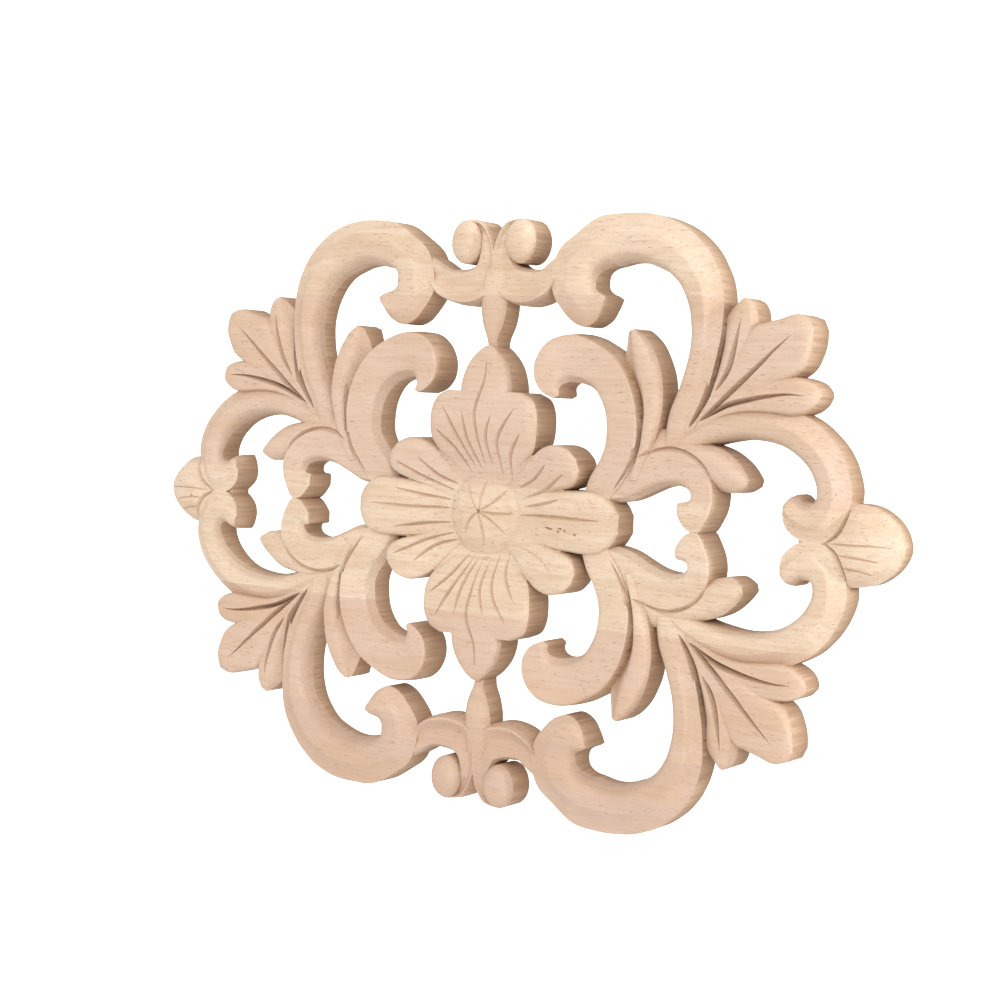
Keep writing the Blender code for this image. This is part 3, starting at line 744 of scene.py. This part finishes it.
form = bmesh.new()
form.from_mesh(carving.data)
whole = form.verts[:] + form.edges[:] + form.faces[:]
bmesh.ops.bisect_plane(form, geom=whole, plane_co=(0, 0, 0), plane_no=(0, 1, 0), clear_outer=True)
back_edges = [edge for edge in form.edges if edge.is_boundary]
bmesh.ops.triangle_fill(form, edges=back_edges, use_beauty=True)
bmesh.ops.remove_doubles(form, verts=form.verts, dist=MERGE)
bmesh.ops.triangulate(form, faces=form.faces)
bmesh.ops.dissolve_degenerate(form, dist=MERGE, edges=form.edges)
bmesh.ops.recalc_face_normals(form, faces=form.faces)
surface = bpy.data.meshes.new("onlay_carving")
form.to_mesh(surface)
open_edges = sum(1 for edge in form.edges if not edge.is_manifold)
form.free()
bpy.data.objects.remove(carving)
print("open edges:", open_edges, "faces:", len(surface.polygons))

# %% [markdown]
# ## The hand
# Every hand-carved surface wavers a little. The heights follow a slow wave of about a tenth of a
# millimetre, always inward, and the edges sway as much sideways. The whole is a trace smaller than
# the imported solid, so nothing passes it.

# %% Waver and shading
HEIGHT_KEPT, HEIGHT_WAVER = 0.996, 0.010
LENGTH_KEPT, RISE_KEPT, SIDE_WAVER = 0.9990, 0.9982, 0.00010
HEIGHT_SEED, LENGTH_SEED, RISE_SEED = 3, 5, 7
SHORTEST_WAVE, LONGEST_WAVE, WAVES = 7, 26, 9
SHARP_ANGLE = 0.42


def waver(x, z, seed):
    """Slow uneven waves between -1 and 1: a sum of sines in different directions, over half their
    number, clipped."""
    chance = np.random.default_rng(seed)
    total = np.zeros_like(x)
    for wave in chance.uniform(SHORTEST_WAVE, LONGEST_WAVE, WAVES):
        angle, phase = chance.uniform(0, 2 * np.pi, 2)
        total += np.sin((x * np.cos(angle) + z * np.sin(angle)) / wave * 2 * np.pi + phase)
    return (total / (WAVES / 2)).clip(-1, 1)


points = np.empty(len(surface.vertices) * 3)
surface.vertices.foreach_get("co", points)
points = points.reshape(-1, 3)
x, z = points[:, 0] / SCALE, points[:, 2] / SCALE
points[:, 1] *= HEIGHT_KEPT - HEIGHT_WAVER * (1 + waver(x, z, HEIGHT_SEED))
points[:, 0] = (points[:, 0] + SIDE_WAVER * waver(x, z, LENGTH_SEED)) * LENGTH_KEPT
points[:, 2] = (points[:, 2] + SIDE_WAVER * waver(x, z, RISE_SEED)) * RISE_KEPT
surface.vertices.foreach_set("co", points.ravel())
surface.update()
onlay = bpy.data.objects.new("onlay_carving", surface)
bpy.context.scene.collection.objects.link(onlay)
surface.shade_smooth()
surface.set_sharp_from_angle(angle=SHARP_ANGLE)
print("greatest height:", round(float(-points[:, 1].min()) * 1000, 2), "mm")

# %% [markdown]
# ## How deep a place lies
# The hollows are painted darker, as painted shade, so the finish needs to know them. A shader can't
# look round a surface, so it is worked out here: the heights are laid on a fine grid, evened out
# over a few millimetres, and each point is compared with that mean.

# %% Depth below the surroundings
CELL = 0.0008
GRID_START_X, GRID_START_Z = -0.156, -0.106
REACH = 3
FULL_DEPTH = 0.0019


def evened(grid, reach):
    """Mean over a square of 2 * reach + 1 cells, from running sums along both directions."""
    size = 2 * reach + 1
    for axis in (0, 1):
        margin = [(reach + 1, reach) if a == axis else (0, 0) for a in (0, 1)]
        sums = np.cumsum(np.pad(grid, margin, mode="edge"), axis=axis)
        ahead = np.take(sums, range(size, sums.shape[axis]), axis)
        behind = np.take(sums, range(0, sums.shape[axis] - size), axis)
        grid = (ahead - behind) / size
    return grid


columns = ((points[:, 0] - GRID_START_X) / CELL).astype(int)
levels = ((points[:, 2] - GRID_START_Z) / CELL).astype(int)
grid = np.zeros((int(-2 * GRID_START_X / CELL) + 1, int(-2 * GRID_START_Z / CELL) + 1))
np.maximum.at(grid, (columns, levels), -points[:, 1])
surroundings = evened(grid, REACH)[columns, levels]
# Share of painted shade at each point: how far it lies below the mean of its surroundings.
painted_hollow_shade = np.clip((surroundings + points[:, 1]) / FULL_DEPTH, 0, 1)
attribute = surface.attributes.new("painted_hollow_shade", "FLOAT", "POINT")
attribute.data.foreach_set("value", painted_hollow_shade.astype(np.float32))
print("mean hollow:", round(float(painted_hollow_shade.mean()), 3))

# %% [markdown]
# ## Shader arithmetic
# A finish is easier to read as sums and products than as a tangle of nodes. This small class wraps
# one output socket, and arithmetic on it adds the Math nodes.

# %% Sockets that add and multiply


class Signal:
    """One output of a shader node. Plus, minus and times make Math nodes."""

    def __init__(self, tree, socket):
        self.tree = tree
        self.socket = socket

    def maths(self, operation, first, second):
        return node(self.tree, "Math", {"operation": operation}, {0: first, 1: second})

    def __add__(self, other):
        return self.maths("ADD", self, other)

    def __radd__(self, other):
        return self.maths("ADD", other, self)

    def __sub__(self, other):
        return self.maths("SUBTRACT", self, other)

    def __rsub__(self, other):
        return self.maths("SUBTRACT", other, self)

    def __mul__(self, other):
        return self.maths("MULTIPLY", self, other)

    def __rmul__(self, other):
        return self.maths("MULTIPLY", other, self)

    def clipped(self):
        return node(self.tree, "Clamp", {}, {"Value": self})


def node(tree, kind, settings, inputs, output=0):
    """A shader node of a kind, with its settings and inputs; gives one of its outputs."""
    made = tree.nodes.new("ShaderNode" + kind)
    for name, value in settings.items():
        setattr(made, name, value)
    for name, value in inputs.items():
        if isinstance(value, Signal):
            tree.links.new(value.socket, made.inputs[name])
        else:
            made.inputs[name].default_value = value
    return Signal(tree, made.outputs[output])


print("signal class ready")

# %% [markdown]
# ## Colours and noise
# Two more helpers: a colour between two, which a Math node would turn grey, and noise that is
# stretched along one direction, because everything in wood runs along its grain.

# %% Colour and noise helpers


def blend_colour(tree, share, low, high):
    """A colour between two, by a share from 0 to 1."""
    return node(tree, "Mix", {"data_type": "RGBA"}, {0: share, 6: low, 7: high}, 2)


def noise(tree, place, stretch, detail=3.0, distortion=0.0):
    """Noise over the place stretched along the three directions; higher numbers are finer."""
    where = node(tree, "VectorMath", {"operation": "MULTIPLY"}, {0: place, 1: stretch})
    look = {"Vector": where, "Scale": 1.0, "Detail": detail, "Roughness": 0.55,
            "Distortion": distortion}
    return node(tree, "TexNoise", {}, look)


print("colour helpers ready")

# %% [markdown]
# ## Rubberwood: where things are
# Plantation rubberwood is pale tan with short dark pores that run along the grain, here along x.
# Noise with low numbers along x and high ones across it gives the broad figure, the fibres and the
# pores. They are read from the place in the wood, not from the surface, so a cut through the block
# shows them as real end grain and side grain do.

# %% Grain, pores and directions
wood = bpy.data.materials.new("rubberwood")
wood.use_nodes = True
tree = wood.node_tree
shader = tree.nodes["Principled BSDF"]
place = node(tree, "TexCoord", {}, {}, "Object")
upward = node(tree, "SeparateXYZ", {}, {"Vector": place}, "Z")
facing = node(tree, "NewGeometry", {}, {}, "True Normal")
facing_y = node(tree, "SeparateXYZ", {}, {"Vector": facing}, "Y")
# Painted shade: how deep a place lies below its surroundings, read back to darken the hollows.
depth = node(tree, "Attribute", {"attribute_name": "painted_hollow_shade"}, {}, "Fac")

figure = noise(tree, place, (7.0, 60.0, 75.0), 4.0, 0.6)
fibre = noise(tree, place, (45.0, 900.0, 1100.0), 3.0)
pore_noise = noise(tree, place, (330.0, 2100.0, 2700.0), 1.0)
cloud = noise(tree, place, (14.0, 20.0, 22.0), 2.0)
fuzz = noise(tree, place, (1300.0, 1300.0, 1600.0), 2.0)
saw = noise(tree, place, (900.0, 40.0, 900.0), 2.0)
gouge = noise(tree, place, (260.0, 260.0, 340.0), 2.0)
pores = ((pore_noise - 0.69 + (cloud - 0.5) * 0.12) * 16).clipped()
print("nodes so far:", len(tree.nodes))

# %% [markdown]
# ## Rubberwood: the carved face
# The board is glued up from five strips that differ a little in tone. Over them lie broad streaks,
# reddish clouds, darker fibres, the fuzz that a gouge raises, and the pores.

# %% Strips, streaks and fibres
TOP_GLUE, UPPER_GLUE, MIDDLE_GLUE, LOW_GLUE = 0.074, 0.010, -0.034, -0.073
GLUE_SHARPNESS = 3000
yellowish = (0.714, 0.560, 0.420, 1)
pinkish = (0.634, 0.467, 0.357, 1)
low_tone = (0.620, 0.446, 0.336, 1)
bottom_tone = (0.575, 0.412, 0.325, 1)
streak_tone = (0.560, 0.370, 0.235, 1)
reddish = (0.660, 0.460, 0.330, 1)
fibre_tone = (0.480, 0.310, 0.180, 1)
fuzz_tone = (0.430, 0.270, 0.160, 1)
pore_tone = (0.250, 0.130, 0.060, 1)


def above(edge):
    """1 above a glue line at this height in metres, 0 below it."""
    return ((upward - edge) * GLUE_SHARPNESS + 0.5).clipped()


colour = blend_colour(tree, above(LOW_GLUE), bottom_tone, low_tone)
colour = blend_colour(tree, above(MIDDLE_GLUE), colour, yellowish)
colour = blend_colour(tree, above(UPPER_GLUE), colour, pinkish)
colour = blend_colour(tree, above(TOP_GLUE), colour, yellowish)
streaks = ((figure - 0.5) * 4.0 + 0.25).clipped() * 0.6
clouds = (cloud - 0.35).clipped() * 0.4
fibres = ((fibre - 0.42) * 1.6).clipped() * 0.8
fuzziness = ((fuzz - 0.5) * 2.0).clipped() * 0.5
colour = blend_colour(tree, streaks, colour, streak_tone)
colour = blend_colour(tree, clouds, colour, reddish)
colour = blend_colour(tree, fibres, colour, fibre_tone)
colour = blend_colour(tree, fuzziness, colour, fuzz_tone)
colour = blend_colour(tree, pores * 0.55, colour, pore_tone)
print("glue lines at", TOP_GLUE, UPPER_GLUE, MIDDLE_GLUE, LOW_GLUE)

# %% [markdown]
# ## Rubberwood: walls, and painted shade on walls and in hollows
# The sawn walls are browner than the carved face, and the saw leaves fine lines on them. Their
# colour is also darkened with painted shade, for the shade that falls on walls between the limbs.
# The true normal tells a wall from the face without the soft change that smooth shading would
# bring. The hollows are painted darker too, as painted shade, by the depth worked out above.

# %% Sawn walls with painted shade, and painted shade in the hollows
# Wall tones: partly the browner colour of sawn wood, partly painted shade.
shaded_wall_dark = (0.380, 0.225, 0.125, 1)
shaded_wall_light = (0.580, 0.385, 0.245, 1)
# Painted shade for the hollows.
painted_hollow_shade_tone = (0.290, 0.165, 0.090, 1)
flat = node(tree, "Math", {"operation": "ABSOLUTE"}, {0: facing_y})
wall = (1.6 - flat * 6.0).clipped()
saw_lines = ((saw - 0.5) * 3.0 + 0.5).clipped()
sawn_and_shaded_wall_colour = blend_colour(tree, saw_lines, shaded_wall_dark, shaded_wall_light)
# The walls take the sawn-wood colour, darkened further with painted shade.
colour = blend_colour(tree, wall * 0.75, colour, sawn_and_shaded_wall_colour)
# Painted shade: the hollows are painted darker by their depth.
colour = blend_colour(tree, depth * 0.9, colour, painted_hollow_shade_tone)
tree.links.new(colour.socket, shader.inputs["Base Color"])
print("nodes so far:", len(tree.nodes))

# %% [markdown]
# ## Rubberwood: sheen and relief
# Bare sanded wood is matt, and a sawn wall is rougher still. Fibres, gouge marks and pores are far
# too fine for the mesh, so a bump of less than half a millimetre carries them.

# %% Roughness and bump
BUMP_DISTANCE = 0.0004
rough = 0.58 + fibre * 0.18 + wall * 0.12
tree.links.new(rough.socket, shader.inputs["Roughness"])
shader.inputs["Specular IOR Level"].default_value = 0.35
relief = fibre * 0.5 + gouge * 0.5 + fuzz * 0.3 - pores * 0.5 + saw * (1 - flat) * 1.6
bump = node(tree, "Bump", {}, {"Height": relief, "Strength": 0.55, "Distance": BUMP_DISTANCE},
            "Normal")
tree.links.new(bump.socket, shader.inputs["Normal"])
onlay.data.materials.append(wood)
print("nodes in the wood:", len(tree.nodes))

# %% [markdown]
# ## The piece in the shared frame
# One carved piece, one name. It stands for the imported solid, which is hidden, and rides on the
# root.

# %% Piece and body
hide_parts("carved_onlay")
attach(onlay, "root")

# %% [markdown]
# ## Floor and backdrop
# The onlay is seen against plain white. The floor lies well below it, and its far side turns up
# behind as a backdrop. White paper in a studio has lamps of its own, so this paper glows evenly,
# and it throws no light back on the wood.

# %% Floor and backdrop
FLOOR_Z, BEND_RADIUS, BEND_Y = -0.8, 1.5, 3.0
NEAR_Y, BACKDROP_TOP, HALF_WIDTH = -4.0, 5.0, 6.0


def sweep():
    """Floor and backdrop in one: flat, then a quarter circle, then upright, alike all along x."""
    angle = np.linspace(0, np.pi / 2, 16)
    bend_y = BEND_Y + BEND_RADIUS * np.sin(angle)
    bend_z = FLOOR_Z + BEND_RADIUS * (1 - np.cos(angle))
    y = np.concatenate([[NEAR_Y], bend_y, [BEND_Y + BEND_RADIUS]])
    z = np.concatenate([[FLOOR_Z], bend_z, [BACKDROP_TOP]])
    x = np.array([-HALF_WIDTH, HALF_WIDTH])
    points = np.stack([np.tile(x, len(y)), np.repeat(y, 2), np.repeat(z, 2)], axis=1)
    start = np.arange(len(y) - 1) * 2
    faces = np.stack([start, start + 1, start + 3, start + 2], axis=1)
    mesh = bpy.data.meshes.new("floor")
    mesh.from_pydata(points.tolist(), [], faces.tolist())
    mesh.shade_smooth()
    made = bpy.data.objects.new("floor", mesh)
    bpy.context.scene.collection.objects.link(made)
    return made


floor = sweep()
paper = bpy.data.materials.new("white_paper")
paper.use_nodes = True
paper_shader = paper.node_tree.nodes["Principled BSDF"]
paper_shader.inputs["Base Color"].default_value = (0.9, 0.9, 0.9, 1)
paper_shader.inputs["Roughness"].default_value = 0.9
paper_shader.inputs["Emission Color"].default_value = (1, 1, 1, 1)
paper_shader.inputs["Emission Strength"].default_value = 1.0
floor.data.materials.append(paper)
floor.visible_diffuse = False
floor.visible_glossy = False
print("floor faces:", len(floor.data.polygons))

# %% [markdown]
# ## Light
# A white room lights the piece from all round. A large soft lamp in front and to the right shapes
# the relief, and a small cooler one beside the board grazes the walls that face right.

# %% Room and lamps
scene = bpy.context.scene
room = bpy.data.worlds.new("room")
room.use_nodes = True
room.node_tree.nodes["Background"].inputs["Color"].default_value = (1, 1, 1, 1)
room.node_tree.nodes["Background"].inputs["Strength"].default_value = 1.0
scene.world = room
scene.view_settings.view_transform = "Standard"


def lamp(name, place, target, size, power):
    """A square soft lamp at a place, turned to a target."""
    light = bpy.data.lights.new(name, "AREA")
    light.size = size
    light.energy = power
    made = bpy.data.objects.new(name, light)
    made.location = place
    made.rotation_mode = "QUATERNION"
    made.rotation_quaternion = (Vector(target) - Vector(place)).to_track_quat("-Z", "Y")
    scene.collection.objects.link(made)
    return made


ONLAY_MIDDLE = (0, 0, 0)
front_lamp = lamp("front lamp", (1.15, -2.0, 0.75), ONLAY_MIDDLE, 1.2, 24.0)
side_lamp = lamp("side lamp", (1.0, -0.022, 0.26), ONLAY_MIDDLE, 0.10, 4.5)
side_lamp.data.color = (0.90, 0.95, 1.0)
print("lamps:", front_lamp.name, "and", side_lamp.name)

# %% [markdown]
# ## Camera
# The camera stands to the right of the piece and a little above it. Its place, its turn and its
# lens were worked out from the pattern itself, which repeats four times in a flat board.

# %% Camera
CAMERA_PLACE = (0.34528818, -0.49898174, 0.04052403)
CAMERA_TURN = (86.58030875, -2.34289408, 34.79337656)
camera = bpy.data.objects.new("camera", bpy.data.cameras.new("camera"))
camera.location = CAMERA_PLACE
camera.rotation_euler = np.radians(CAMERA_TURN)
camera.data.sensor_width = 36.0
camera.data.lens = 63.430974
camera.data.clip_start = 0.01
scene.collection.objects.link(camera)
scene.camera = camera
print("camera at", [round(v, 3) for v in camera.location])
